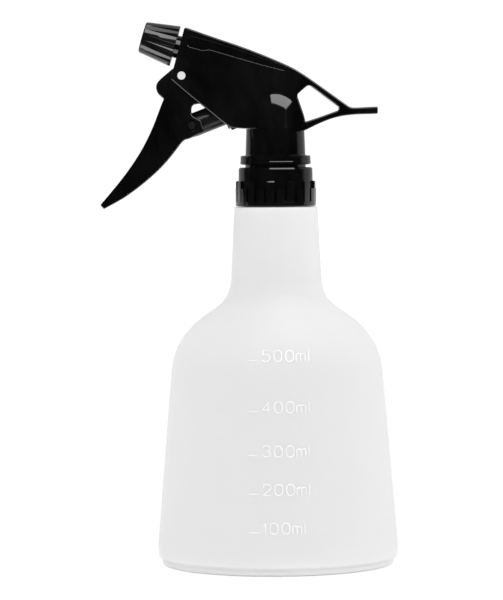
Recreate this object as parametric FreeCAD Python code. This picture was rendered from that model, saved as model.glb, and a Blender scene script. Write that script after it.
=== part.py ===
import FreeCAD, Part
import math
import os

os.makedirs("parts", exist_ok=True)
V = FreeCAD.Vector

# ---------------------------------------------------------------------------
# Hand mister: 500 ml bottle with a trigger pump head.
# Frame: origin at the centre of the bottle's foot, +Z up along the bottle,
# the nozzle sprays towards -X and the tail loop points to +X. Millimetres.
# ---------------------------------------------------------------------------

# bottle
WALL = 1.1                 # blown wall of the bottle
FOOT_OUT_R = 45.2          # outer edge of the standing ring
FOOT_IN_R = 40.6           # inner edge of the standing ring
PUSH_UP = 3.4              # height of the domed base at its centre
BODY_R = 48.1              # largest radius, just above the foot
MOUTH_R = 10.85            # bore of the neck finish
FINISH_R = 12.45           # outside of the neck finish, without its thread
LAND_Z = 155.2             # top land of the neck finish

# closure thread (28 mm finish)
THREAD_PITCH = 4.233
BOTTLE_CREST_R = 13.60
COLLAR_ROOT_R = 13.85
COLLAR_CREST_R = 12.88
THREAD_Z0 = 147.0          # centre of the bottle thread where it starts
THREAD_TURNS = 1.5
COLLAR_THREAD_Z0 = 146.55  # centre of the collar thread where it starts
COLLAR_THREAD_TURNS = 1.1
THREAD_OFFSET = 1.75       # collar thread sits this far under the bottle thread

# collar
COLLAR_Z0, COLLAR_Z1 = 143.4, 158.8
COLLAR_BAND_Z = 145.1
COLLAR_BAND_R = 16.1
COLLAR_BODY_R = 14.9
COLLAR_TOP_R = 14.66
TALL_BLOCK_Z, SHORT_BLOCK_Z = 153.4, 150.4
TALL_BLOCK_R, SHORT_BLOCK_R = 15.9, 16.1
BLOCK_COUNT = 12           # of each height
TALL_BLOCK_PHASE = -98.0   # azimuth of one tall block, degrees
COLLAR_LIP_R = 12.3

# gasket and pump head
GASKET_T = 1.0
FLANGE_R, FLANGE_T = 13.3, 1.2
WAIST_R = 12.1
RING_R, RING_Z0, RING_Z1 = 14.1, 159.9, 163.5
SKIRT_R0, SKIRT_R1, SKIRT_Z1 = 11.95, 11.6, 174.2
DOME_R, DOME_Z = 9.0, 181.5
SKIN = 1.4                 # moulded wall of the pump head
RISER_R = 5.4
HOLDER_R = 4.0             # bore of the riser that takes the tube holder
PASSAGE_R = 1.9

# pump cylinder and piston: axis through PUMP_P along PUMP_U
PUMP_P = V(-28.1, 0, 177.65)
PUMP_U = V(0.933, 0, 0.360).normalize()
CYL_OUT_R, CYL_BORE_R = 6.7, 5.1
CYL_S0, CYL_S1 = 7.6, 21.0   # mouth and end of the bore along the axis
ROD_R = 4.7
SEAL_R = 5.05
TRUNNION_S = -5.53
TRUNNION_R = 1.5

# discharge barrel and nozzle: axis through BARREL_P along BARREL_F (forwards)
BARREL_P = V(-39.74, 0, 207.33)
BARREL_F = V(-0.960, 0, 0.280).normalize()
BARREL_R = 4.55
BARREL_TUBE_R = 3.0
BARREL_BORE_R = 2.6
NOZZLE_R0, NOZZLE_R1, NOZZLE_L = 8.3, 6.2, 13.6
NOZZLE_FLUTES = 18
FLUTE_DEPTH, FLUTE_SPREAD = 0.78, 1.3   # at the rear; half width per depth
NOZZLE_PITCH = 1.6

# trigger
PIVOT = V(-37.15, 0, 195.5)
PIN_R = 1.6
PIN_CLEAR = 0.07
WEB_OUT, WEB_IN = 6.6, 5.1
TRIGGER_SKIN = 2.0

# shroud
SHROUD_HALF = 8.5
SHROUD_WALL = 1.6
BULGE_R0, BULGE_R = 11.6, 11.3   # at its foot and at the dome
BULGE_IN_R = 9.3
RIM_FILLET = 0.25

# dip tube
TUBE_R, TUBE_BORE_R = 2.0, 1.4
BALL_IN_R = 2.38
BALL_OUT_R = 2.0

Z = V(0, 0, 1)
Y = V(0, 1, 0)
O = V(0, 0, 0)


# ---------------------------------------------------------------------------
# helpers
# ---------------------------------------------------------------------------
def at(p, d, s):
    return p + d * s


def cyl(p, d, r, s0, s1):
    """Solid cylinder on the axis p + s*d from s0 to s1."""
    return Part.makeCylinder(r, s1 - s0, at(p, d, s0), d)


def tube(p, d, ro, ri, s0, s1):
    return cyl(p, d, ro, s0, s1).cut(cyl(p, d, ri, s0 - 1, s1 + 1))


def revolve(profile, p=O, d=Z):
    """Closed (r, s) polygon turned about the axis p + s*d."""
    ref = V(1, 0, 0) if abs(d.x) < 0.5 else V(0, 1, 0)
    e = (ref - d * ref.dot(d)).normalize()
    pts = [p + e * r + d * s for r, s in profile]
    wire = Part.makePolygon(pts + [pts[0]])
    return Part.Face(wire).revolve(p, d, 360)


def revolve_edges(edges):
    return Part.Face(Part.Wire(edges)).revolve(O, Z, 360)


def xz(points, y=0.0):
    return [V(x, y, z) for x, z in points]


def spline(points, y=0.0, start=None, end=None):
    c = Part.BSplineCurve()
    kw = {}
    if start is not None and end is not None:
        kw = dict(InitialTangent=V(start[0], 0, start[1]).normalize(),
                  FinalTangent=V(end[0], 0, end[1]).normalize())
    c.interpolate(Points=xz(points, y), **kw)
    return c.toShape()


def rounded(points):
    """Closed XZ wire of straight runs joined by tangent arcs.

    Each point is (x, z) or (x, z, r). Without r the arc is as large as its
    two runs allow, which makes a row of such points one smooth curve.
    """
    n = len(points)
    p = [V(q[0], 0, q[1]) for q in points]
    runs = [(p[(i + 1) % n] - p[i]).Length for i in range(n)]
    tan = []
    for i in range(n):
        a, b, c = p[i - 1], p[i], p[(i + 1) % n]
        turn = (b - a).getAngle(c - b)
        room = 0.49 * min(runs[i - 1], runs[i])
        if len(points[i]) == 3:
            want = points[i][2] * math.tan(turn / 2)
            room = min(want, room)
        tan.append(room)
    edges = []
    last = None
    first = None
    for i in range(n):
        a, b, c = p[i - 1], p[i], p[(i + 1) % n]
        u, w = (a - b).normalize(), (c - b).normalize()
        turn = (b - a).getAngle(c - b)
        if tan[i] < 1e-3 or turn < 1e-4:
            e0 = e1 = b
        else:
            e0, e1 = b + u * tan[i], b + w * tan[i]
            r = tan[i] / math.tan(turn / 2)
            bis = (u + w).normalize()
            mid = b + bis * (r / math.cos(turn / 2) - r)
        if last is not None and (e0 - last).Length > 1e-6:
            edges.append(Part.LineSegment(last, e0).toShape())
        if first is None:
            first = e0
        if (e1 - e0).Length > 1e-6:
            edges.append(Part.Arc(e0, mid, e1).toShape())
        last = e1
    if (first - last).Length > 1e-6:
        edges.append(Part.LineSegment(last, first).toShape())
    return Part.Wire(edges)


def prism(wire_or_points, y0, y1):
    """XZ outline pulled along Y from y0 to y1."""
    if isinstance(wire_or_points, list):
        q = xz(wire_or_points, y0)
        w = Part.makePolygon(q + [q[0]])
    else:
        w = wire_or_points.copy()
        w.translate(V(0, y0, 0))
    return Part.Face(w).extrude(V(0, y1 - y0, 0))


def fuse(first, *rest):
    s = first.multiFuse(list(rest)) if rest else first
    return s.removeSplitter()


def cut(first, *rest):
    s = first
    for r in rest:
        s = s.cut(r)
    return s


def helix_ridge(p, d, ref, pitch, turns, r_base, r_crest, w_base, w_crest, s0, phase):
    """A screw ridge whose flanks run from r_base to r_crest about p + s*d."""
    h = Part.makeHelix(pitch, pitch * turns, max(r_base, r_crest))
    prof = [V(r_base, 0, -w_base / 2), V(r_crest, 0, -w_crest / 2),
            V(r_crest, 0, w_crest / 2), V(r_base, 0, w_base / 2)]
    sweep = Part.BRepOffsetAPI.MakePipeShell(Part.Wire(h.Edges))
    sweep.setFrenetMode(True)
    sweep.add(Part.makePolygon(prof + [prof[0]]))
    sweep.build()
    sweep.makeSolid()
    ridge = sweep.shape()
    e = (ref - d * ref.dot(d)).normalize()
    f = d.cross(e)
    m = FreeCAD.Matrix(e.x, f.x, d.x, p.x + d.x * s0,
                       e.y, f.y, d.y, p.y + d.y * s0,
                       e.z, f.z, d.z, p.z + d.z * s0,
                       0, 0, 0, 1)
    ridge.rotate(O, Z, phase)
    return ridge_placed(ridge, m)


def ridge_placed(shape, m):
    s = shape.copy()
    s.Placement = FreeCAD.Placement(m).multiply(s.Placement)
    return s


def coil(p, d, ref, wire_r, mean_r, s0, s1, turns):
    """Round-wire coil spring from s0 to s1 on p + s*d."""
    length = (s1 - s0) - 2 * wire_r
    h = Part.makeHelix(length / turns, length, mean_r)
    sweep = Part.BRepOffsetAPI.MakePipeShell(Part.Wire(h.Edges))
    sweep.setFrenetMode(True)
    c = Part.Circle(V(mean_r, 0, 0), V(0, 1, 0), wire_r)
    sweep.add(Part.Wire([c.toShape()]))
    sweep.build()
    sweep.makeSolid()
    e = (ref - d * ref.dot(d)).normalize()
    f = d.cross(e)
    q = p + d * (s0 + wire_r)
    m = FreeCAD.Matrix(e.x, f.x, d.x, q.x, e.y, f.y, d.y, q.y,
                       e.z, f.z, d.z, q.z, 0, 0, 0, 1)
    return ridge_placed(sweep.shape(), m)


def sector(r0, r1, a0, a1, z0, z1):
    """Block between two radii and two azimuths (degrees)."""
    def pt(r, a):
        return V(r * math.cos(math.radians(a)), r * math.sin(math.radians(a)), z0)
    am = (a0 + a1) / 2
    w = Part.Wire([
        Part.LineSegment(pt(r0, a0), pt(r1, a0)).toShape(),
        Part.Arc(pt(r1, a0), pt(r1, am), pt(r1, a1)).toShape(),
        Part.LineSegment(pt(r1, a1), pt(r0, a1)).toShape(),
        Part.Arc(pt(r0, a1), pt(r0, am), pt(r0, a0)).toShape()])
    return Part.Face(w).extrude(V(0, 0, z1 - z0))


NODES = {}


def keep(name, shape):
    solids = shape.Solids
    if len(solids) == 1:
        shape = solids[0]
    else:
        shape = Part.makeCompound(solids)
    NODES[name] = shape
    print("%-20s solids %d valid %s volume %.1f" % (name, len(solids), shape.isValid(), shape.Volume))
    shape.exportStep(os.path.join("parts", name + ".step"))


# ---------------------------------------------------------------------------
# bottle: blown shell with a standing ring, a domed base and a screw finish
# ---------------------------------------------------------------------------
SHOULDER = [(42.6, 73.8), (42.3, 77.0), (41.9, 80.2), (41.2, 83.4), (40.0, 86.6),
            (38.3, 89.8), (36.0, 93.0), (33.1, 96.2), (29.3, 99.3), (25.6, 101.9),
            (22.5, 104.2), (20.7, 106.2), (19.4, 108.4), (18.6, 111.0), (18.1, 113.8)]
NECK_TOP = (16.6, 142.75)


def offset_run(points, d):
    """Offset an (r, z) run towards its left side by d."""
    out = []
    for i, (x, z) in enumerate(points):
        a = points[max(i - 1, 0)]
        b = points[min(i + 1, len(points) - 1)]
        tx, tz = b[0] - a[0], b[1] - a[1]
        n = math.hypot(tx, tz)
        out.append((x - tz / n * d, z + tx / n * d))
    return out


def bottle():
    cone_slope = (-5.5, 67.2)
    neck_slope = (-1.5, 28.6)
    sh = spline(SHOULDER, start=cone_slope, end=neck_slope)
    foot = spline([(FOOT_OUT_R, 0), (46.15, 0.55), (46.35, 1.8)], start=(1, 0.12), end=(0.05, 1))
    step = spline([(46.35, 1.8), (46.85, 2.7), (47.65, 3.4), (47.98, 4.8), (BODY_R, 6.9)],
                  start=(0.1, 1), end=(0, 1))
    seg = lambda a, b: Part.LineSegment(V(a[0], 0, a[1]), V(b[0], 0, b[1])).toShape()
    outer = [
        seg((0, PUSH_UP), (4, PUSH_UP)),
        spline([(4, PUSH_UP), (20, 3.15), (34, 2.3), (38.8, 1.35), (FOOT_IN_R, 0)],
               start=(1, 0), end=(0.55, -0.8)),
        seg((FOOT_IN_R, 0), (FOOT_OUT_R, 0)),
        foot, step,
        seg((BODY_R, 6.9), (BODY_R, 8.6)),
        seg((BODY_R, 8.6), SHOULDER[0]),
        sh,
        seg(SHOULDER[-1], NECK_TOP),
        seg(NECK_TOP, (16.45, 142.98)), seg((16.45, 142.98), (16.1, 143.08)),
        seg((16.1, 143.08), (13.0, 143.15)), seg((13.0, 143.15), (FINISH_R, 143.6)),
        seg((FINISH_R, 143.6), (FINISH_R, LAND_Z)),
        seg((FINISH_R, LAND_Z), (MOUTH_R, LAND_Z)),
    ]
    shi = offset_run(SHOULDER, WALL)
    inner = [
        seg((MOUTH_R, LAND_Z), (MOUTH_R, 143.6)),
        spline([(MOUTH_R, 143.6), (11.5, 142.3), (14.1, 141.5), (15.4, 139.9)],
               start=(0, -1), end=(0.15, -1)),
        seg((15.4, 139.9), shi[-1]),
        spline(list(reversed(shi)), start=(1.5, -28.6), end=(5.5, -67.2)),
        seg(shi[0], (BODY_R - WALL, 8.6)),
        spline([(BODY_R - WALL, 8.6), (46.6, 5.2), (45.0, 2.6), (41.8, 2.2), (39.2, 2.9), (34, 3.75),
                (20, 4.45), (4, PUSH_UP + WALL + 0.1)], start=(0, -1), end=(-1, 0)),
        seg((4, PUSH_UP + WALL + 0.1), (0, PUSH_UP + WALL + 0.1)),
        seg((0, PUSH_UP + WALL + 0.1), (0, PUSH_UP)),
    ]
    shell = revolve_edges(outer + inner)
    ridge = helix_ridge(O, Z, V(1, 0, 0), THREAD_PITCH, THREAD_TURNS,
                        FINISH_R - 0.25, BOTTLE_CREST_R, 2.3, 1.1, THREAD_Z0, 0)
    return shell.fuse(ridge)


keep("bottle", bottle())


# ---------------------------------------------------------------------------
# screw collar: grip blocks outside, thread and flange pocket inside
# ---------------------------------------------------------------------------
def screw_collar():
    body = revolve([
        (COLLAR_ROOT_R, COLLAR_Z0), (COLLAR_BAND_R - 0.25, COLLAR_Z0),
        (COLLAR_BAND_R, COLLAR_Z0 + 0.25), (COLLAR_BAND_R, COLLAR_BAND_Z),
        (COLLAR_BODY_R, COLLAR_BAND_Z + 0.2), (COLLAR_TOP_R + 0.08, COLLAR_Z1 - 0.7),
        (COLLAR_TOP_R - 0.15, COLLAR_Z1 - 0.2), (COLLAR_TOP_R - 0.6, COLLAR_Z1),
        (COLLAR_LIP_R, COLLAR_Z1), (COLLAR_LIP_R, 157.5), (13.6, 157.5), (13.6, 155.0),
        (COLLAR_ROOT_R, 154.6)])
    blocks = []
    for i in range(BLOCK_COUNT):
        a = TALL_BLOCK_PHASE + 30.0 * i
        blocks.append(sector(14.3, TALL_BLOCK_R, a - 5.7, a + 5.7, COLLAR_BAND_Z - 0.3, TALL_BLOCK_Z))
        b = a + 15.0
        blocks.append(sector(14.3, SHORT_BLOCK_R, b - 5.6, b + 5.6, COLLAR_BAND_Z - 0.3, SHORT_BLOCK_Z))
    # the tops of the blocks lean inwards a little
    trim_t = revolve([(COLLAR_BODY_R - 0.6, TALL_BLOCK_Z + 0.05), (TALL_BLOCK_R - 0.35, TALL_BLOCK_Z + 0.05),
                      (TALL_BLOCK_R + 0.02, TALL_BLOCK_Z - 0.5), (18, TALL_BLOCK_Z - 0.5),
                      (18, TALL_BLOCK_Z + 3), (COLLAR_BODY_R - 0.6, TALL_BLOCK_Z + 3)])
    out = body.multiFuse([b.cut(trim_t) for b in blocks])
    phase = 360.0 * (COLLAR_THREAD_Z0 + THREAD_OFFSET - THREAD_Z0) / THREAD_PITCH
    ridge = helix_ridge(O, Z, V(1, 0, 0), THREAD_PITCH, COLLAR_THREAD_TURNS,
                        COLLAR_ROOT_R + 0.25, COLLAR_CREST_R, 1.9, 0.8, COLLAR_THREAD_Z0, phase)
    return out.fuse(ridge).removeSplitter()


keep("screw_collar", screw_collar())
keep("neck_gasket", tube(V(0, 0, LAND_Z), Z, 13.3, 10.9, 0, GASKET_T))


# ---------------------------------------------------------------------------
# pump body: flange, neck skirt, dome, riser, cylinder, barrel, pivot bracket
# ---------------------------------------------------------------------------
F0 = LAND_Z + GASKET_T


def pump_axis(s, n):
    """Point at s along the pump axis and n above it, in the XZ plane."""
    u = PUMP_U
    return V(PUMP_P.x + u.x * s - u.z * n, 0, PUMP_P.z + u.z * s + u.x * n)


def barrel_axis(t, n=0.0):
    f = BARREL_F
    return V(BARREL_P.x + f.x * t + f.z * n, 0, BARREL_P.z + f.z * t - f.x * n)


def dome(r, z0, z1):
    c = cyl(O, Z, r, z0, z1)
    s = Part.makeSphere(r, V(0, 0, z1))
    return c.fuse(s).removeSplitter()


def pump_body():
    outside = revolve([
        (0, F0 - 4.0), (10.3, F0 - 4.0), (10.5, F0 - 3.5), (10.5, F0), (FLANGE_R, F0),
        (FLANGE_R, F0 + FLANGE_T), (WAIST_R, F0 + FLANGE_T), (WAIST_R, RING_Z0),
        (RING_R - 0.35, RING_Z0), (RING_R, RING_Z0 + 0.35), (RING_R, RING_Z0 + 1.1),
        (RING_R - 0.12, RING_Z0 + 1.35), (RING_R - 0.12, RING_Z1 - 0.45),
        (RING_R - 0.5, RING_Z1), (SKIRT_R0 + 0.35, RING_Z1), (SKIRT_R0, RING_Z1 + 0.35),
        (SKIRT_R1, SKIRT_Z1), (DOME_R, SKIRT_Z1), (DOME_R, SKIRT_Z1 + 2), (0, SKIRT_Z1 + 2)])
    outside = outside.fuse(dome(DOME_R, SKIRT_Z1 + 1, DOME_Z))
    inside = revolve([
        (0, F0 - 5), (9.1, F0 - 5), (9.1, RING_Z0 - 0.5), (SKIRT_R0 - SKIN, RING_Z0 + 2.5),
        (SKIRT_R1 - SKIN, SKIRT_Z1 - 2.4), (DOME_R - SKIN, SKIRT_Z1 - 0.6), (0, SKIRT_Z1 - 0.6)])
    inside = inside.fuse(dome(DOME_R - SKIN, SKIRT_Z1 - 1, DOME_Z))
    hollow = outside.cut(inside)
    riser = cyl(O, Z, RISER_R, F0 + 1.8, 193.0)
    head = cyl(O, Z, 3.4, 190.0, 197.2)
    barrel = cyl(BARREL_P, BARREL_F, BARREL_R, -27.0, 0.6)
    barrel_rear = cyl(BARREL_P, BARREL_F, BARREL_TUBE_R, -43.0, -26.0)
    screw_core = cyl(BARREL_P, BARREL_F, 4.2, 0.0, 5.5)
    stem = cyl(BARREL_P, BARREL_F, 3.4, 5.0, 10.0)
    chamber = cyl(PUMP_P, PUMP_U, CYL_OUT_R, CYL_S0, CYL_S1 + 1.6)
    vent_rib = cyl(pump_axis(0, -6.3), PUMP_U, 1.25, 8.6, 21.5)
    # bracket that carries the trigger pin, hanging from the barrel
    bracket = prism([(-36.6, 205.5), (-37.9, 200.3), (-39.4, 197.1), (-39.9, 195.5), (-34.4, 195.5),
                     (-33.4, 199.0), (-29.0, 203.5)], -4.4, 4.4)
    boss = cyl(PIVOT, Y, 2.75, -4.4, 4.4)
    # web between the barrel and the pump cylinder
    web = prism([(-31.5, 204.0), (-20.5, 185.0), (-8.0, 188.0), (-2.0, 190.0), (-2.0, 195.5)], -1.1, 1.1)
    s = fuse(hollow, riser, head, barrel, barrel_rear, screw_core, stem, chamber, vent_rib,
             bracket, boss, web)
    tools = [
        cyl(PUMP_P, PUMP_U, CYL_BORE_R, CYL_S0 - 1, CYL_S1),
        cyl(PUMP_P, PUMP_U, 1.2, CYL_S1 - 0.5, 30.1),
        cyl(O, Z, HOLDER_R, F0, 180.2),
        cyl(O, Z, PASSAGE_R, 179, 195.7),
        cyl(BARREL_P, BARREL_F, 1.3, -41.4, -10.5),
        revolve([(0, -11.0), (1.3, -11.0), (BARREL_BORE_R, -9.7), (BARREL_BORE_R, 11), (0, 11)],
                BARREL_P, BARREL_F),
        cyl(pump_axis(0, -6.3), PUMP_U, 0.6, 9.2, 23.5),
        cyl(pump_axis(9.8, -4.5), V(PUMP_U.z, 0, -PUMP_U.x), 0.6, 0, 2.0),
        cyl(PIVOT, Y, PIN_R + 0.02, -10, 10),
    ]
    s = cut(s, *tools)
    ridge = helix_ridge(BARREL_P, BARREL_F, V(0, 1, 0), NOZZLE_PITCH, 2.5,
                        4.1, 4.75, 0.72, 0.4, 1.0, 0)
    return s.fuse(ridge)


keep("pump_body", pump_body())

# ---------------------------------------------------------------------------
# tube holder with the inlet valve seat, inlet ball, dip tube, strainer
# ---------------------------------------------------------------------------
# its disc closes the underside of the pump head, with a small vent hole
keep("tube_holder", revolve([
    (TUBE_R + 0.02, F0 - 4.0), (9.04, F0 - 4.0), (9.04, F0 - 2.6), (5.4, F0 - 2.6),
    (5.4, F0 + 1.78), (HOLDER_R - 0.02, F0 + 1.78), (HOLDER_R - 0.02, 179.6), (HOLDER_R - 0.4, 180.0),
    (2.75, 180.0), (2.75, 176.45), (1.3, 175.0), (1.3, 172.0), (TUBE_R + 0.02, 172.0)]).cut(
        cyl(V(0, 7.2, 0), Z, 0.6, 150.0, 156.0)))
INLET_Z = 173.7 + BALL_IN_R * math.sqrt(2) + 0.04
keep("inlet_ball", Part.makeSphere(BALL_IN_R, V(0, 0, INLET_Z)))

STRAINER_Z0, STRAINER_Z1 = 5.7, 15.5
TUBE_Z0, TUBE_Z1 = 10.0, 171.6
keep("dip_tube", tube(O, Z, TUBE_R, TUBE_BORE_R, TUBE_Z0, TUBE_Z1))


def strainer():
    body = revolve([
        (0, STRAINER_Z0), (3.9, STRAINER_Z0), (4.4, STRAINER_Z0 + 0.5), (4.4, 12.4), (3.2, 13.6),
        (3.2, STRAINER_Z1), (TUBE_R + 0.02, STRAINER_Z1), (TUBE_R + 0.02, 9.8), (3.2, 9.8),
        (3.2, STRAINER_Z0 + 1.1), (0, STRAINER_Z0 + 1.1)])
    slots = []
    for i in range(8):
        a = math.radians(45.0 * i + 22.5)
        b = Part.makeBox(2.4, 0.8, 2.6, V(2.6, -0.4, 7.1))
        b.rotate(O, Z, math.degrees(a))
        slots.append(b)
    return cut(body, *slots)


keep("dip_tube_strainer", strainer())


# ---------------------------------------------------------------------------
# piston with its two seals, and the return spring
# ---------------------------------------------------------------------------
def piston():
    rod = revolve([
        (0, TRUNNION_S - 3.9), (3.3, TRUNNION_S - 3.9), (4.4, TRUNNION_S - 2.6), (ROD_R, TRUNNION_S + 1),
        (ROD_R, 7.9), (4.1, 7.9), (4.1, 9.5), (ROD_R, 9.5), (ROD_R, 10.2),
        (4.1, 10.2), (4.1, 13.3), (3.6, 13.3), (3.6, 1.0), (0, 1.0)], PUMP_P, PUMP_U)
    c = at(PUMP_P, PUMP_U, TRUNNION_S)
    trunnion = cyl(c, Y, TRUNNION_R, -WEB_OUT + 0.1, WEB_OUT - 0.1)
    collars = [cyl(c, Y, 2.3, -4.95, 4.95)]
    return fuse(rod, trunnion, *collars)


keep("piston", piston())
keep("piston_cup_seal", revolve([
    (4.12, 10.25), (4.75, 10.25), (SEAL_R, 10.8), (SEAL_R, 11.4), (4.8, 11.9), (SEAL_R, 12.7),
    (SEAL_R, 13.4), (4.75, 13.4), (4.5, 12.6), (4.12, 12.6)], PUMP_P, PUMP_U))
keep("piston_vent_ring", revolve([
    (4.12, 7.95), (4.7, 7.95), (SEAL_R, 8.35), (SEAL_R, 9.05), (4.7, 9.45), (4.12, 9.45)],
    PUMP_P, PUMP_U))
keep("return_spring", coil(PUMP_P, PUMP_U, Y, 0.4, 2.85, 1.1, CYL_S1 - 0.05, 9))

# ---------------------------------------------------------------------------
# outlet valve, swirl core, nozzle
# ---------------------------------------------------------------------------
OUT_T = -12.3 + BALL_OUT_R * math.sqrt(2) + 0.04
keep("outlet_ball", Part.makeSphere(BALL_OUT_R, at(BARREL_P, BARREL_F, OUT_T)))
keep("outlet_spring", coil(BARREL_P, BARREL_F, Y, 0.2, 1.55, -7.75, 0.45, 7))


def swirl_core():
    core = revolve([(0, 0.5), (2.2, 0.5), (BARREL_BORE_R - 0.03, 0.9), (BARREL_BORE_R - 0.03, 10.02),
                    (3.1, 10.02), (3.1, 10.4), (2.95, 10.55), (1.2, 10.55), (1.2, 10.2), (0, 10.2)],
                   BARREL_P, BARREL_F)
    tools = []
    for i in range(3):
        b = Part.makeBox(1.2, 1.1, 10.4, V(1.75, -0.55, 0.0))
        b.rotate(O, Z, 120.0 * i)
        e = Y
        f = BARREL_F.cross(e)
        m = FreeCAD.Matrix(e.x, f.x, BARREL_F.x, BARREL_P.x, e.y, f.y, BARREL_F.y, BARREL_P.y,
                           e.z, f.z, BARREL_F.z, BARREL_P.z, 0, 0, 0, 1)
        tools.append(ridge_placed(b, m))
    return cut(core, *tools)


keep("swirl_core", swirl_core())


def nozzle_cap():
    slope = (NOZZLE_R0 - NOZZLE_R1) / NOZZLE_L
    R = lambda t: NOZZLE_R0 - slope * t
    body = revolve([
        (4.95, 0), (NOZZLE_R0 - 0.15, 0), (NOZZLE_R0, 0.15), (NOZZLE_R1 + 0.08, NOZZLE_L - 0.5),
        (NOZZLE_R1 - 0.3, NOZZLE_L), (4.7, NOZZLE_L), (4.5, 13.0), (2.1, 13.0), (1.6, 13.2),
        (0.9, 12.6), (0.35, 12.5), (0.35, 11.8), (3.7, 11.8), (3.7, 7.95), (4.5, 7.95),
        (4.5, 6.9), (4.95, 6.9)], BARREL_P, BARREL_F)
    # tapering finger flutes, deepest at the rear
    e = Y
    f = BARREL_F.cross(e)
    flutes = []
    for i in range(NOZZLE_FLUTES):
        a = math.radians(360.0 / NOZZLE_FLUTES * (i + 0.5))
        d = e * math.cos(a) + f * math.sin(a)
        w = f * math.cos(a) - e * math.sin(a)
        ends = []
        for t, depth in ((-1.0, FLUTE_DEPTH), (12.4, -0.02)):
            p = at(BARREL_P, BARREL_F, t)
            root, rim = R(t) - depth, R(t) + 0.6
            half = (rim - root) * FLUTE_SPREAD
            ends.append(Part.makePolygon([p + d * root, p + d * rim + w * half,
                                          p + d * rim - w * half, p + d * root]))
        flutes.append(Part.makeLoft(ends, True, True))
    body = cut(body, *flutes)
    ridge = helix_ridge(BARREL_P, BARREL_F, V(0, 1, 0), NOZZLE_PITCH, 2.25,
                        5.05, 4.42, 0.72, 0.4, 2.6, 180)
    return body.fuse(ridge)


keep("nozzle_cap", nozzle_cap())


def ring_on(p, d, t, major, minor):
    return Part.makeTorus(major, minor, at(p, d, t), d)


keep("nozzle_o_ring", ring_on(BARREL_P, BARREL_F, 7.42, 3.95, 0.5))


# ---------------------------------------------------------------------------
# shroud: cover with flat sides, a domed bulge over the neck, and a tail loop
# ---------------------------------------------------------------------------
TOP = [(-33.8, 214.05), (-23.64, 210.4), (-13.47, 206.94), (-3.3, 202.98), (6.87, 198.42),
       (11.97, 195.23), (17.06, 191.59), (22.12, 187.92), (27.21, 184.24)]
BELLY = [(26.13, 179.05), (22.04, 177.96), (16.95, 175.95), (11.81, 173.39), (9.24, 172.53)]


def shroud():
    outline = rounded(TOP + [
        (29.9, 182.3), (32.3, 182.3, 1.0), (40.72, 182.64, 0.5), (40.72, 179.84, 0.5), (31.5, 179.66)] +
        BELLY + [(6.0, 171.9, 0.3), (6.0, 174.3, 0.3), (-11.0, 174.3), (-15.0, 174.5), (-18.2, 174.9),
                 (-21.2, 177.16), (-34.01, 187.65, 60.0), (-41.6, 194.25, 0.9), (-40.9, 196.4),
                 (-40.0, 199.62, 30.0), (-35.75, 214.75, 1.0)])
    solid = prism(outline, -SHROUD_HALF, SHROUD_HALF)
    # loop opening
    loop = rounded([(13.3, 191.65, 1.6), (8.6, 187.6, 1.6), (11.35, 179.6), (11.95, 176.85, 0.5),
                    (17.0, 178.45), (21.0, 179.85), (26.35, 181.75, 0.9)])
    solid = solid.cut(prism(loop, -12, 12))
    flat = [e for e in solid.Edges
            if abs(abs(e.CenterOfMass.y) - SHROUD_HALF) < 1e-4]
    solid = solid.makeFillet(0.55, flat)
    bulge = Part.makeCone(BULGE_R0, BULGE_R, DOME_Z - 174.3, V(0, 0, 174.3), Z)
    bulge = bulge.fuse(Part.makeSphere(BULGE_R, V(0, 0, DOME_Z))).cut(cyl(O, Z, 20, 150, 174.3))
    solid = solid.fuse(bulge.cut(prism(loop, -12, 12)))
    # inside
    ti = []
    for i in range(len(TOP) - 4):
        a, b = TOP[max(i - 1, 0)], TOP[i + 1]
        tx, tz = b[0] - a[0], b[1] - a[1]
        n = math.hypot(tx, tz)
        ti.append((TOP[i][0] + tz / n * SHROUD_WALL, TOP[i][1] - tx / n * SHROUD_WALL))
    half_in = SHROUD_HALF - SHROUD_WALL
    # ti runs from the front to about x = 11; keep it to x < 6
    ti = [p for p in ti if p[0] < 6.5]
    cavity = prism([(-34.9, 213.0)] + [p for p in ti if p[0] > -33] +
                   [(6.6, 194.6), (7.4, 191.0), (7.4, 165.0), (-60, 165.0), (-60, 200.6),
                    (-38.03, 200.6), (-34.9, 211.9)], -half_in, half_in)
    inner_dome = dome(BULGE_IN_R, 160.0, DOME_Z)
    neck = revolve([(0, 150), (SKIRT_R0 + 0.5, 150), (SKIRT_R0 + 0.2, 163), (SKIRT_R1 + 0.12, 174.35),
                    (BULGE_IN_R, 174.35), (0, 174.35)])
    solid = cut(solid, cavity, inner_dome, neck)
    # barrel hole in the front wall
    solid = solid.cut(cyl(BARREL_P, BARREL_F, 4.75, -8.0, 4.0))
    # pin holes
    solid = solid.cut(cyl(PIVOT, Y, PIN_R + 0.02, -12, 12))
    # long side pockets under the top edge
    pocket = rounded([(-34.3, 211.2, 1.2), (-21.86, 207.9), (-9.89, 203.8), (0.09, 200.15), (4.4, 198.45, 0.4),
                      (3.6, 197.3, 0.4), (-4.72, 199.43), (-17.89, 203.33), (-25.9, 205.75, 1.0),
                      (-28.6, 205.4, 1.0), (-34.6, 207.1, 1.2)])
    for sgn in (1, -1):
        y0, y1 = sorted((sgn * (SHROUD_HALF - 0.8), sgn * (SHROUD_HALF + 2)))
        solid = solid.cut(prism(pocket, y0, y1))
    centres = [e.CenterOfMass for e in pocket.Edges]
    rims = [e for e in solid.Edges
            if abs(abs(e.CenterOfMass.y) - SHROUD_HALF) < 1e-3
            and min(math.hypot(e.CenterOfMass.x - c.x, e.CenterOfMass.z - c.z) for c in centres) < 0.02]
    solid = solid.makeFillet(RIM_FILLET, rims)
    return solid.removeSplitter()


keep("shroud", shroud())
keep("trigger_pivot_pin", cyl(PIVOT, Y, PIN_R, -SHROUD_HALF + 0.02, SHROUD_HALF - 0.02))


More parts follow.
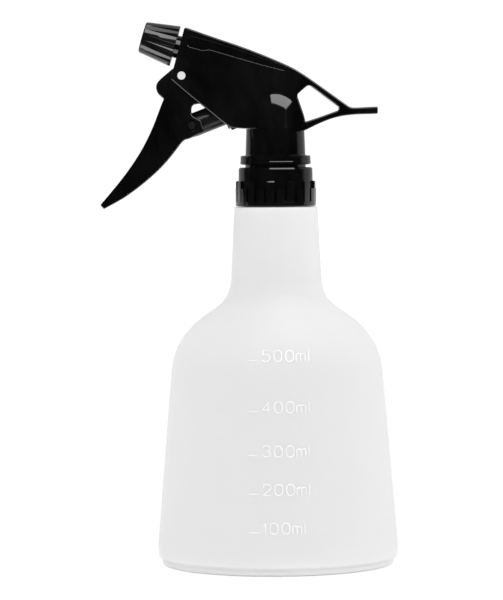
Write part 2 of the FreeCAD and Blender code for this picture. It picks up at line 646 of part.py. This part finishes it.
# ---------------------------------------------------------------------------
# trigger: curved channel with two webs that reach the pin and the piston
# ---------------------------------------------------------------------------
FINGER = [(-45.3, 184.0), (-46.7, 180.31), (-48.82, 174.84), (-51.99, 168.3),
          (-55.72, 162.09), (-61.01, 154.81), (-66.26, 148.57), (-69.17, 145.2)]
BACK = [(-67.5, 143.25), (-62.5, 145.85), (-57.2, 149.35), (-51.85, 153.5), (-46.6, 158.1),
        (-42.8, 162.2), (-40.1, 165.6), (-37.5, 169.0)]


def trigger():
    outline = rounded(
        [(-40.9, 198.1, 2.5), (-45.3, 194.45), (-47.0, 192.7), (-47.45, 190.6), (-46.6, 188.3), (-44.3, 186.3, 0.5)] +
        FINGER + [(-69.95, 144.25, 0.9), (-68.5, 142.6, 0.9)] + BACK +
        [(-36.3, 170.05), (-34.0, 170.6), (-31.5, 172.0), (-28.2, 173.1, 0.9), (-29.6, 177.7, 1.0),
         (-33.2, 179.6), (-33.65, 181.9), (-33.1, 183.9), (-31.4, 184.35), (-28.4, 184.6), (-27.3, 187.0),
         (-29.2, 190.6), (-32.4, 193.4), (-33.05, 196.4), (-34.9, 199.4), (-38.4, 199.85)])
    solid = prism(outline, -WEB_OUT, WEB_OUT)
    side = [e for e in solid.Edges if abs(abs(e.CenterOfMass.y) - WEB_OUT) < 1e-4]
    solid = solid.makeFillet(0.5, side)
    # channel between the webs, open at the back
    skin = TRIGGER_SKIN
    run = [(-46.6, 188.6), (-45.3, 184.0), (-46.7, 180.31), (-48.82, 174.84), (-51.99, 168.3),
           (-55.72, 162.09), (-61.01, 154.81), (-64.4, 150.7)]
    inner = []
    for i, (x, z) in enumerate(run):
        a = run[max(i - 1, 0)]
        b = run[min(i + 1, len(run) - 1)]
        tx, tz = b[0] - a[0], b[1] - a[1]
        n = math.hypot(tx, tz)
        inner.append((x - tz / n * skin, z + tx / n * skin))
    inner = [(-43.4, 191.5), (-42.9, 187.0)] + inner[2:]
    channel = rounded(inner + [(-60.0, 140.0, 1), (-20.0, 150.0, 1), (-20.0, 205.0, 1), (-42.2, 205.0, 1),
                               (-42.2, 194.6, 0.5)])
    solid = solid.cut(prism(channel, -WEB_IN, WEB_IN))
    # slots for the piston trunnions, long way towards the pin
    c = at(PUMP_P, PUMP_U, TRUNNION_S)
    d = (PIVOT - c).normalize()
    w = TRUNNION_R + 0.2
    h = 0.75
    sx = V(d.z, 0, -d.x)
    corners = [c + d * h + sx * w, c + d * h - sx * w, c - d * h - sx * w, c - d * h + sx * w]
    slot = prism([(q.x, q.z) for q in corners], -10, 10)
    slot = slot.fuse(cyl(c + d * h, Y, w, -10, 10)).fuse(cyl(c - d * h, Y, w, -10, 10)).removeSplitter()
    solid = solid.cut(slot)
    # pin holes
    return solid.cut(cyl(PIVOT, Y, PIN_R + PIN_CLEAR, -12, 12))


keep("trigger", trigger())
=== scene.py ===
import math
import bpy
import bmesh
from mathutils import Matrix, Vector


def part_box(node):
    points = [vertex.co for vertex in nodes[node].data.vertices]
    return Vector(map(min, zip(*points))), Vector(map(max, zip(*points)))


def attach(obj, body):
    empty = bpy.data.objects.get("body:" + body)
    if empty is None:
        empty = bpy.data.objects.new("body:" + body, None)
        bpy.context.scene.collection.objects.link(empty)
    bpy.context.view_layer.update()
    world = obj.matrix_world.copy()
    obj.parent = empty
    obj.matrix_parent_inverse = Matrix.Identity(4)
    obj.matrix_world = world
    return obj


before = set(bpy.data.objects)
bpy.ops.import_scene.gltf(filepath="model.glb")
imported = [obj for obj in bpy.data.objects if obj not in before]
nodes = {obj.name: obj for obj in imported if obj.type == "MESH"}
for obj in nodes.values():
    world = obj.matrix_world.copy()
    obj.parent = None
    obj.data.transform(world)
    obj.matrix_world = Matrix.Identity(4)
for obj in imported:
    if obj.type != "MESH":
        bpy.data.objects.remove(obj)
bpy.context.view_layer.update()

MM = 0.001
scene = bpy.context.scene

WALL = 0.6      # what glossy faces see behind the object
ROOM = 0.012    # and in front of it
TENT = 1.20     # even white light on everything matte


# ---------------------------------------------------------------------------
# camera: level with the shoulder of the bottle, a long lens
# ---------------------------------------------------------------------------
cam_data = bpy.data.cameras.new("camera")
cam_data.lens = 207.0
cam_data.sensor_width = 36.0
cam_data.clip_start = 0.05
cam_data.clip_end = 60
cam = bpy.data.objects.new("camera", cam_data)
scene.collection.objects.link(cam)
look = Matrix.Rotation(math.radians(90.0 - 2.457), 4, "X")
roll = Matrix.Rotation(math.radians(-0.424), 4, "Z")
cam.matrix_world = Matrix.Translation((-0.0100, -1.380, 0.165)) @ look @ roll
scene.camera = cam
scene.view_settings.view_transform = "Standard"


# ---------------------------------------------------------------------------
# small helpers
# ---------------------------------------------------------------------------
def mesh_object(name, verts, faces, smooth=True):
    me = bpy.data.meshes.new(name)
    me.from_pydata(verts, [], faces)
    me.validate()
    me.update()
    ob = bpy.data.objects.new(name, me)
    scene.collection.objects.link(ob)
    if smooth:
        for p in me.polygons:
            p.use_smooth = True
    return ob


def catmull(points, n):
    """Smooth run through (r, z) points, n steps per span."""
    out = []
    for i in range(len(points) - 1):
        p0 = points[max(i - 1, 0)]
        p1, p2 = points[i], points[i + 1]
        p3 = points[min(i + 2, len(points) - 1)]
        for k in range(n):
            t = k / n
            q = []
            for a, b, c, d in zip(p0, p1, p2, p3):
                q.append(0.5 * (2 * b + (c - a) * t + (2 * a - 5 * b + 4 * c - d) * t * t
                                + (3 * b - a - 3 * c + d) * t ** 3))
            out.append(tuple(q))
    out.append(points[-1])
    return out


def set_in(node, name, value):
    node.inputs[name].default_value = value


# ---------------------------------------------------------------------------
# materials
# ---------------------------------------------------------------------------
class Mat:
    """A node material with object-space noise to build on."""

    def __init__(self, name):
        self.m = bpy.data.materials.new(name)
        self.m.use_nodes = True
        self.t = self.m.node_tree
        self.t.nodes.clear()
        self.out = self.t.nodes.new("ShaderNodeOutputMaterial")
        self.b = self.t.nodes.new("ShaderNodeBsdfPrincipled")
        self.t.links.new(self.b.outputs[0], self.out.inputs["Surface"])
        self.co = self.t.nodes.new("ShaderNodeTexCoord").outputs["Object"]

    def n(self, kind, **kw):
        nd = self.t.nodes.new(kind)
        for k, v in kw.items():
            setattr(nd, k, v)
        return nd

    def link(self, a, b):
        self.t.links.new(a, b)

    def noise(self, scale, detail=3.0, rough=0.55, stretch=None, distortion=0.0):
        co = self.co
        if stretch:
            mp = self.n("ShaderNodeMapping")
            mp.inputs["Scale"].default_value = stretch
            self.link(co, mp.inputs["Vector"])
            co = mp.outputs[0]
        nz = self.n("ShaderNodeTexNoise")
        set_in(nz, "Scale", scale)
        set_in(nz, "Detail", detail)
        set_in(nz, "Roughness", rough)
        set_in(nz, "Distortion", distortion)
        self.link(co, nz.inputs["Vector"])
        return nz.outputs["Fac"]

    def remap(self, fac, a, b, lo, hi):
        mr = self.n("ShaderNodeMapRange")
        mr.clamp = True
        mr.inputs["From Min"].default_value = a
        mr.inputs["From Max"].default_value = b
        mr.inputs["To Min"].default_value = lo
        mr.inputs["To Max"].default_value = hi
        self.link(fac, mr.inputs["Value"])
        return mr.outputs[0]

    def math(self, op, a, b=None, c=None):
        nd = self.n("ShaderNodeMath", operation=op)
        for i, v in enumerate((a, b, c)):
            if v is None:
                continue
            if isinstance(v, (int, float)):
                nd.inputs[i].default_value = v
            else:
                self.link(v, nd.inputs[i])
        return nd.outputs[0]

    def mix(self, fac, c1, c2):
        nd = self.n("ShaderNodeMix", data_type="RGBA")
        if isinstance(fac, (int, float)):
            nd.inputs["Factor"].default_value = fac
        else:
            self.link(fac, nd.inputs["Factor"])
        for sock, v in ((nd.inputs[6], c1), (nd.inputs[7], c2)):
            if isinstance(v, (tuple, list)):
                sock.default_value = (*v, 1.0) if len(v) == 3 else v
            else:
                self.link(v, sock)
        return nd.outputs[2]

    def bump(self, height, strength, distance, normal=None):
        bp = self.n("ShaderNodeBump")
        bp.inputs["Strength"].default_value = strength
        bp.inputs["Distance"].default_value = distance
        self.link(height, bp.inputs["Height"])
        if normal is not None:
            self.link(normal, bp.inputs["Normal"])
        return bp.outputs[0]

    def scratches(self, scale, stretch, cut):
        """Sparse fine lines: a stretched voronoi edge kept where noise allows."""
        mp = self.n("ShaderNodeMapping")
        mp.inputs["Scale"].default_value = stretch
        mp.inputs["Rotation"].default_value = (0.25, 0.4, 0.3)
        self.link(self.co, mp.inputs["Vector"])
        vo = self.n("ShaderNodeTexVoronoi", feature="DISTANCE_TO_EDGE")
        set_in(vo, "Scale", scale)
        self.link(mp.outputs[0], vo.inputs["Vector"])
        line = self.remap(vo.outputs["Distance"], 0.0, 0.02, 1.0, 0.0)
        keep = self.remap(self.noise(140, 2), cut, cut + 0.08, 0.0, 1.0)
        return self.math("MULTIPLY", line, keep)


def moulded(name, base, rough, rough_var=0.06, edge=0.25, fleck=0.25, bump=0.05, coat=0.0, dust=0.0, ior=1.49):
    """Injection-moulded plastic: flow mottle, faint scuffs, worn edges."""
    m = Mat(name)
    flow = m.noise(55, 4, 0.6, (1.0, 1.0, 0.45), 0.6)
    fine = m.noise(900, 3, 0.6)
    ripple = m.noise(160, 2, 0.5)
    light = tuple(min(1.0, c * (1 + fleck) + 0.004) for c in base)
    col = m.mix(m.remap(flow, 0.35, 0.7, 0.0, 1.0), base, light)
    # worn, slightly paler edges from the curvature of the surface
    geo = m.n("ShaderNodeNewGeometry")
    wear = m.remap(geo.outputs["Pointiness"], 0.53, 0.62, 0.0, 1.0)
    wear = m.math("MULTIPLY", wear, m.remap(ripple, 0.42, 0.62, 0.15, 1.0))
    worn = tuple(min(1.0, c + edge * 0.12) for c in base)
    col = m.mix(m.math("MULTIPLY", wear, edge), col, worn)
    scuff = m.scratches(70, (1.0, 1.0, 0.22), 0.56)
    if dust:
        col = m.mix(m.math("MULTIPLY", m.remap(m.noise(420, 4, 0.7), 0.6, 0.78, 0.0, 1.0), dust), col,
                    tuple(min(1, c + 0.05) for c in base))
    m.link(col, m.b.inputs["Base Color"])
    r = m.remap(flow, 0.3, 0.7, rough - rough_var, rough + rough_var)
    r = m.math("ADD", r, m.math("MULTIPLY", scuff, 0.10))
    r = m.math("ADD", r, m.math("MULTIPLY", wear, 0.08))
    m.link(r, m.b.inputs["Roughness"])
    h = m.math("ADD", m.math("MULTIPLY", ripple, 0.6), m.math("MULTIPLY", fine, 0.08))
    h = m.math("SUBTRACT", h, m.math("MULTIPLY", scuff, 0.12))
    m.link(m.bump(h, bump, 0.00012), m.b.inputs["Normal"])
    m.b.inputs["IOR"].default_value = ior
    if coat:
        m.b.inputs["Coat Weight"].default_value = coat
        m.b.inputs["Coat Roughness"].default_value = 0.08
    return m.m


def natural_poly(name):
    """Blown natural polyethylene: milky, satin, with faint vertical flow lines."""
    m = Mat(name)
    cloud = m.noise(14, 3, 0.5, None, 0.4)
    flow = m.noise(60, 3, 0.55, (1.0, 1.0, 0.06))
    orange = m.noise(480, 3, 0.55)
    fine = m.noise(2600, 2, 0.5)
    col = m.mix(m.remap(cloud, 0.3, 0.7, 0.0, 1.0), (0.868, 0.868, 0.868), (0.888, 0.888, 0.888))
    col = m.mix(m.math("MULTIPLY", m.remap(flow, 0.45, 0.7, 0.0, 1.0), 0.35), col, (0.897, 0.897, 0.897))
    m.link(col, m.b.inputs["Base Color"])
    r = m.remap(orange, 0.35, 0.65, 0.50, 0.60)
    r = m.math("ADD", r, m.math("MULTIPLY", m.scratches(40, (1, 1, 0.3), 0.58), 0.08))
    m.link(r, m.b.inputs["Roughness"])
    h = m.math("ADD", m.math("MULTIPLY", orange, 0.5), m.math("MULTIPLY", fine, 0.15))
    h = m.math("ADD", h, m.math("MULTIPLY", flow, 0.8))
    m.link(m.bump(h, 0.12, 0.0002), m.b.inputs["Normal"])
    m.b.inputs["IOR"].default_value = 1.50
    m.b.inputs["Subsurface Weight"].default_value = 0.5
    m.b.inputs["Subsurface Radius"].default_value = (1.0, 1.0, 1.0)
    m.b.inputs["Subsurface Scale"].default_value = 0.008
    return m.m


def rubber(name, base):
    m = Mat(name)
    g = m.noise(1500, 3)
    m.link(m.mix(m.remap(g, 0.3, 0.7, 0, 1), base, tuple(min(1, c * 1.3 + 0.01) for c in base)), m.b.inputs["Base Color"])
    m.link(m.remap(g, 0.3, 0.7, 0.6, 0.75), m.b.inputs["Roughness"])
    m.link(m.bump(g, 0.2, 0.0001), m.b.inputs["Normal"])
    return m.m


def metal(name, base, rough):
    m = Mat(name)
    g = m.noise(900, 3, 0.6, (1, 1, 4))
    m.link(m.mix(m.remap(g, 0.3, 0.7, 0, 1), base, tuple(c * 0.85 for c in base)), m.b.inputs["Base Color"])
    m.link(m.remap(g, 0.3, 0.7, rough * 0.7, rough * 1.4), m.b.inputs["Roughness"])
    m.link(m.bump(g, 0.08, 0.00005), m.b.inputs["Normal"])
    m.b.inputs["Metallic"].default_value = 1.0
    return m.m


M_BLACK = moulded("black_moulded", (0.0011, 0.0011, 0.0012), 0.075, 0.02, edge=0.03, bump=0.015)
M_PUMP = moulded("black_pump_moulded", (0.0011, 0.0011, 0.0012), 0.075, 0.02, edge=0.03, bump=0.015)
M_COLLAR = moulded("black_collar", (0.0011, 0.0011, 0.0012), 0.07, 0.015, edge=0.02, bump=0.015)
M_TRIGGER = moulded("black_trigger", (0.0012, 0.0012, 0.0013), 0.08, 0.02, edge=0.02, bump=0.012)
M_PISTON = moulded("black_piston", (0.006, 0.006, 0.0062), 0.17, 0.03, edge=0.06, bump=0.03)
M_NOZZLE = moulded("dark_grey_nozzle", (0.004, 0.004, 0.0042), 0.09, 0.02, edge=0.04, bump=0.02)
M_PIN = moulded("natural_pin", (0.66, 0.66, 0.645), 0.42, 0.06, edge=0.1, fleck=0.05, bump=0.1)
M_INNER = moulded("natural_inner_moulding", (0.72, 0.72, 0.70), 0.45, 0.06, edge=0.1, fleck=0.05, bump=0.1)
M_TUBE = moulded("dip_tube_plastic", (0.74, 0.755, 0.755), 0.35, 0.05, edge=0.05, fleck=0.05, bump=0.05)
M_BOTTLE = natural_poly("natural_polyethylene")
M_MARKS = moulded("natural_marks", (0.865, 0.865, 0.865), 0.42, 0.05, edge=0.05, fleck=0.04, bump=0.05)
M_SEAL = rubber("seal_rubber", (0.018, 0.018, 0.018))
M_FOAM = rubber("white_foam", (0.7, 0.7, 0.68))
M_WIRE = metal("spring_wire", (0.62, 0.62, 0.63), 0.25)
M_BALL = metal("polished_ball", (0.78, 0.78, 0.79), 0.12)

CAD_MATERIALS = {
    "bottle": M_BOTTLE, "screw_collar": M_COLLAR, "neck_gasket": M_FOAM, "pump_body": M_PUMP,
    "shroud": M_BLACK, "trigger": M_TRIGGER, "trigger_pivot_pin": M_PIN, "piston": M_PISTON,
    "piston_cup_seal": M_SEAL, "piston_vent_ring": M_SEAL, "return_spring": M_WIRE,
    "tube_holder": M_INNER, "inlet_ball": M_BALL, "outlet_ball": M_BALL, "outlet_spring": M_WIRE,
    "swirl_core": M_INNER, "nozzle_cap": M_NOZZLE, "nozzle_o_ring": M_SEAL, "dip_tube": M_TUBE,
    "dip_tube_strainer": M_INNER,
}
for name, mat in CAD_MATERIALS.items():
    ob = nodes[name]
    ob.data.materials.clear()
    ob.data.materials.append(mat)


# ---------------------------------------------------------------------------
# stage and light
# ---------------------------------------------------------------------------
def stage():
    n = 64
    verts = [(0, 0, -0.00005)]
    faces = []
    for i in range(n):
        a = 2 * math.pi * i / n
        verts.append((14 * math.cos(a), 14 * math.sin(a), -0.00005))
    for i in range(n):
        faces.append((0, 1 + i, 1 + (i + 1) % n))
    floor = mesh_object("floor", verts, faces, False)
    m = Mat("pale_floor")
    g = m.noise(6, 3)
    m.link(m.mix(m.remap(g, 0.3, 0.7, 0, 1), (0.87, 0.87, 0.87), (0.89, 0.89, 0.89)), m.b.inputs["Base Color"])
    m.b.inputs["Roughness"].default_value = 0.8
    m.b.inputs["Specular IOR Level"].default_value = 0.1
    glow = m.n("ShaderNodeEmission")
    glow.inputs["Strength"].default_value = 1.05
    path_node = m.n("ShaderNodeLightPath")
    mix = m.n("ShaderNodeMixShader")
    m.link(m.math("MULTIPLY", path_node.outputs["Is Camera Ray"], 0.86), mix.inputs[0])
    m.link(m.b.outputs[0], mix.inputs[1])
    m.link(glow.outputs[0], mix.inputs[2])
    # painted dark reflection: to glossy rays only, the floor in front of the object turns near-black, so glossy faces
    # reflect dark there while camera and matte rays still see the pale floor
    sep = m.n("ShaderNodeSeparateXYZ")
    m.link(m.co, sep.inputs[0])
    front = m.remap(m.math("MULTIPLY", sep.outputs["Y"], -1.0), 0.12, 0.20, 0.0, 1.0)
    painted_dark_reflection = m.n("ShaderNodeBsdfDiffuse")
    painted_dark_reflection.inputs["Color"].default_value = (0.02, 0.02, 0.02, 1)
    painted_reflection_mix = m.n("ShaderNodeMixShader")
    m.link(m.math("MULTIPLY", front, path_node.outputs["Is Glossy Ray"]), painted_reflection_mix.inputs[0])
    m.link(mix.outputs[0], painted_reflection_mix.inputs[1])
    m.link(painted_dark_reflection.outputs[0], painted_reflection_mix.inputs[2])
    m.link(painted_reflection_mix.outputs[0], m.out.inputs["Surface"])
    floor.data.materials.append(m.m)


stage()

world = bpy.data.worlds.new("studio")
scene.world = world
world.use_nodes = True
wt = world.node_tree
wt.nodes.clear()


def wn(kind, **kw):
    nd = wt.nodes.new(kind)
    for k, v in kw.items():
        setattr(nd, k, v)
    return nd


# a wide white wall behind the object, a dim room in front of it
w_dir = wn("ShaderNodeTexCoord").outputs["Generated"]
w_dot = wn("ShaderNodeVectorMath", operation="DOT_PRODUCT")
wt.links.new(w_dir, w_dot.inputs[0])
w_dot.inputs[1].default_value = (0.17, 1.0, 0.12)
w_ramp = wn("ShaderNodeMapRange", interpolation_type="SMOOTHSTEP")
w_ramp.inputs["From Min"].default_value = 0.16
w_ramp.inputs["From Max"].default_value = 0.42
w_ramp.inputs["To Min"].default_value = ROOM
w_ramp.inputs["To Max"].default_value = WALL
wt.links.new(w_dot.outputs["Value"], w_ramp.inputs["Value"])
w_env = wn("ShaderNodeBackground")
wt.links.new(w_ramp.outputs[0], w_env.inputs["Strength"])
w_tent = wn("ShaderNodeBackground")
w_tent.inputs["Color"].default_value = (1, 1, 1, 1)
w_tent.inputs["Strength"].default_value = TENT
w_cam = wn("ShaderNodeBackground")
w_cam.inputs["Color"].default_value = (1, 1, 1, 1)
w_cam.inputs["Strength"].default_value = 1.02
w_path = wn("ShaderNodeLightPath")
w_soft = wn("ShaderNodeMixShader")
wt.links.new(w_path.outputs["Is Glossy Ray"], w_soft.inputs[0])
wt.links.new(w_tent.outputs[0], w_soft.inputs[1])
wt.links.new(w_env.outputs[0], w_soft.inputs[2])
w_mix = wn("ShaderNodeMixShader")
wt.links.new(w_path.outputs["Is Camera Ray"], w_mix.inputs[0])
wt.links.new(w_soft.outputs[0], w_mix.inputs[1])
wt.links.new(w_cam.outputs[0], w_mix.inputs[2])
wt.links.new(w_mix.outputs[0], wn("ShaderNodeOutputWorld").inputs["Surface"])


def softbox(name, direction, distance, size, power, target=(0, 0, 0.12)):
    ld = bpy.data.lights.new(name, "AREA")
    ld.shape = "RECTANGLE"
    ld.size, ld.size_y = size
    ld.energy = power
    ob = bpy.data.objects.new(name, ld)
    scene.collection.objects.link(ob)
    d = Vector(direction).normalized()
    ob.location = Vector(target) + d * distance
    ob.rotation_euler = (-d).to_track_quat("-Z", "Y").to_euler()
    return ob


# a wide softbox to the right in front and above, leaning over the object
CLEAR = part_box("shroud")
HEAD = Vector((0, 0, (CLEAR[0].z + CLEAR[1].z) / 2 - 0.012))
k_c = Vector((0.377, -0.747, 0.545)).normalized()
k_x = Vector((0.907, 0.147, -0.395))
k_x = (k_x - k_c * k_x.dot(k_c)).normalized()
k_up = k_c.cross(k_x)
k_y = (k_up * 0.893 - k_c * 0.451).normalized()
k_z = k_x.cross(k_y)
key = softbox("key", k_c, 1.0, (1.48, 0.887), 22.9)
key_at = HEAD + k_c + k_up * 0.066 - k_x * 0.08
key.matrix_world = Matrix((
    (k_x.x, k_y.x, k_z.x, key_at.x),
    (k_x.y, k_y.y, k_z.y, key_at.y),
    (k_x.z, k_y.z, k_z.z, key_at.z),
    (0, 0, 0, 1)))
key.visible_diffuse = False
# the same box again, weaker, for the matte faces
key_soft = softbox("key_soft", k_c, 1.0, (1.48, 0.887), 1.2)
key_soft.matrix_world = key.matrix_world
key_soft.visible_glossy = False
# a low panel on the left that fills the undersides of glossy faces
low = softbox("low_left", (0, 0, 1), 0.0, (0.20, 0.30), 0.7)
low.matrix_world = Matrix.Translation((-0.20, -0.20, 0.012)) @ Matrix.Rotation(math.pi, 4, "X")
low.visible_camera = False
low.visible_diffuse = False

# the nozzle turns its ribs towards panels of its own
NOZ = sum(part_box("nozzle_cap"), Vector()) / 2


def lit(name, members, state):
    """Which nodes a lamp lights, or leaves out."""
    group = bpy.data.collections.new(name)
    for member in members:
        group.objects.link(nodes[member])
    for link in group.collection_objects:
        link.light_linking.link_state = state
    return group


ribs = lit("nozzle_only", ["nozzle_cap"], "INCLUDE")
key.light_linking.receiver_collection = lit("no_key", ["nozzle_cap", "bottle"], "EXCLUDE")
low.light_linking.receiver_collection = lit("no_low_panel", ["nozzle_cap", "bottle"], "EXCLUDE")


def rib_panel(name, elevation, distance, size, radiance):
    """A panel at an elevation in front of the nozzle, facing it."""
    e = math.radians(elevation)
    ob = softbox(name, (0.07 * math.cos(e), -math.cos(e), math.sin(e)), distance, size,
                 radiance * math.pi * size[0] * size[1], NOZ)
    ob.rotation_euler = (math.radians(90 - elevation), 0, 0)
    ob.visible_diffuse = False
    ob.visible_camera = False
    ob.light_linking.receiver_collection = ribs
    return ob


rib_panel("rib_front", 53.5, 0.6, (1.0, 0.266), 6.0)
rib_panel("rib_top", 88.0, 0.6, (1.0, 0.485), 2.4)
under = rib_panel("rib_under", -90.0, NOZ.z - 0.012, (0.5, 0.106), 3.9)
under.location.y = -0.070
# an overhead panel that only the bottle's shoulder shows
crown = softbox("shoulder_panel", (0.16, -0.20, 0.97), 0.5, (0.30, 0.24), 1.0, (0, 0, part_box("bottle")[1].z * 0.62))
crown.visible_diffuse = False
crown.visible_camera = False
crown.light_linking.receiver_collection = lit("bottle_only", ["bottle"], "INCLUDE")


# ---------------------------------------------------------------------------
# volume marks: raised strokes on the front of the bottle
# ---------------------------------------------------------------------------
from mathutils.bvhtree import BVHTree

bottle_bvh = BVHTree.FromObject(nodes["bottle"], bpy.context.evaluated_depsgraph_get())


def on_bottle(x, z, sink):
    """Point on the front of the bottle at (x, z) in mm, sunk into the wall."""
    p, n, _, _ = bottle_bvh.ray_cast(Vector((x * MM, -0.3, z * MM)), Vector((0, 1, 0)))
    if n.y > 0:
        n = -n
    return p - n * sink


GLYPHS = {
    "0": (3.0, [[(1.5, 4.3), (2.5, 3.95), (3.0, 2.9), (3.0, 1.4), (2.5, 0.35), (1.5, 0.0), (0.5, 0.35),
                 (0.0, 1.4), (0.0, 2.9), (0.5, 3.95), (1.5, 4.3)]]),
    "1": (1.1, [[(0.0, 3.35), (0.7, 3.75), (1.0, 4.3)], [(1.0, 4.3), (1.0, 0.0)]]),
    "2": (3.0, [[(0.1, 3.2), (0.45, 4.0), (1.5, 4.3), (2.6, 4.0), (2.95, 3.1), (2.5, 2.15), (1.3, 1.15),
                 (0.1, 0.0)], [(0.1, 0.0), (3.0, 0.0)]]),
    "3": (3.0, [[(0.1, 3.5), (0.55, 4.1), (1.5, 4.3), (2.5, 4.0), (2.8, 3.25), (2.4, 2.5), (1.4, 2.25)],
                [(1.4, 2.25), (2.5, 2.0), (3.0, 1.2), (2.6, 0.3), (1.5, 0.0), (0.4, 0.25), (0.0, 0.9)]]),
    "4": (3.1, [[(2.3, 4.3), (0.0, 1.2)], [(0.0, 1.2), (3.1, 1.2)], [(2.3, 4.3), (2.3, 0.0)]]),
    "5": (3.0, [[(2.8, 4.3), (0.5, 4.3)], [(0.5, 4.3), (0.25, 2.4)],
                [(0.25, 2.4), (1.5, 2.75), (2.6, 2.4), (3.0, 1.4), (2.6, 0.4), (1.5, 0.0), (0.5, 0.2),
                 (0.0, 0.8)]]),
    "m": (3.5, [[(0.0, 0.0), (0.0, 2.95)],
                [(0.0, 2.3), (0.3, 2.8), (0.95, 2.98), (1.55, 2.75), (1.75, 2.2)], [(1.75, 2.2), (1.75, 0.0)],
                [(1.75, 2.3), (2.05, 2.8), (2.7, 2.98), (3.3, 2.75), (3.5, 2.2)], [(3.5, 2.2), (3.5, 0.0)]]),
    "l": (0.4, [[(0.0, 4.5), (0.0, 0.0)]]),
    "-": (3.9, [[(0.0, 0.55), (3.9, 0.55)]]),
}


def stroke_curve(cu, pts, x0, z0):
    """A stroke as fine points that follow the wall, drawn as a round ridge."""
    smooth = len(pts) > 3
    fine = catmull(pts, 6) if smooth else []
    if not smooth:
        for a, b in zip(pts, pts[1:]):
            n = max(2, int(math.dist(a, b) / 0.4))
            fine += [(a[0] + (b[0] - a[0]) * k / n, a[1] + (b[1] - a[1]) * k / n) for k in range(n)]
        fine.append(pts[-1])
    closed = smooth and pts[0] == pts[-1]
    if closed:
        fine = fine[:-1]
    sp = cu.splines.new("POLY")
    sp.points.add(len(fine) - 1)
    for i, (x, z) in enumerate(fine):
        sp.points[i].co = (*on_bottle(x0 + x, z0 + z, MARK_SINK), 1)
    sp.use_cyclic_u = closed


MARK_R = 0.34 * MM
MARK_SINK = 0.215 * MM


def volume_marks():
    cu = bpy.data.curves.new("volume_marks", "CURVE")
    cu.dimensions = "3D"
    cu.bevel_depth = MARK_R
    cu.bevel_resolution = 3
    cu.use_fill_caps = True
    for text, z0 in (("500", 83.5), ("400", 63.6), ("300", 46.6), ("200", 31.7), ("100", 16.8)):
        for pts in GLYPHS["-"][1]:
            stroke_curve(cu, pts, -11.6, z0)
        x = -6.1
        for ch in text + "ml":
            if ch == "m":
                x -= 0.55
            w, strokes = GLYPHS[ch]
            for pts in strokes:
                stroke_curve(cu, pts, x, z0)
            x += w + (1.62 if ch != "m" else 1.35)
    tmp = bpy.data.objects.new("volume_marks_curve", cu)
    scene.collection.objects.link(tmp)
    dg = bpy.context.evaluated_depsgraph_get()
    me = bpy.data.meshes.new_from_object(tmp.evaluated_get(dg))
    bpy.data.objects.remove(tmp)
    bpy.data.curves.remove(cu)
    me.materials.clear()
    me.name = "volume_marks"
    ob = bpy.data.objects.new("volume_marks", me)
    scene.collection.objects.link(ob)
    for p in me.polygons:
        p.use_smooth = True
    ob.data.materials.append(M_MARKS)
    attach(ob, "bottle")
    return ob


volume_marks()
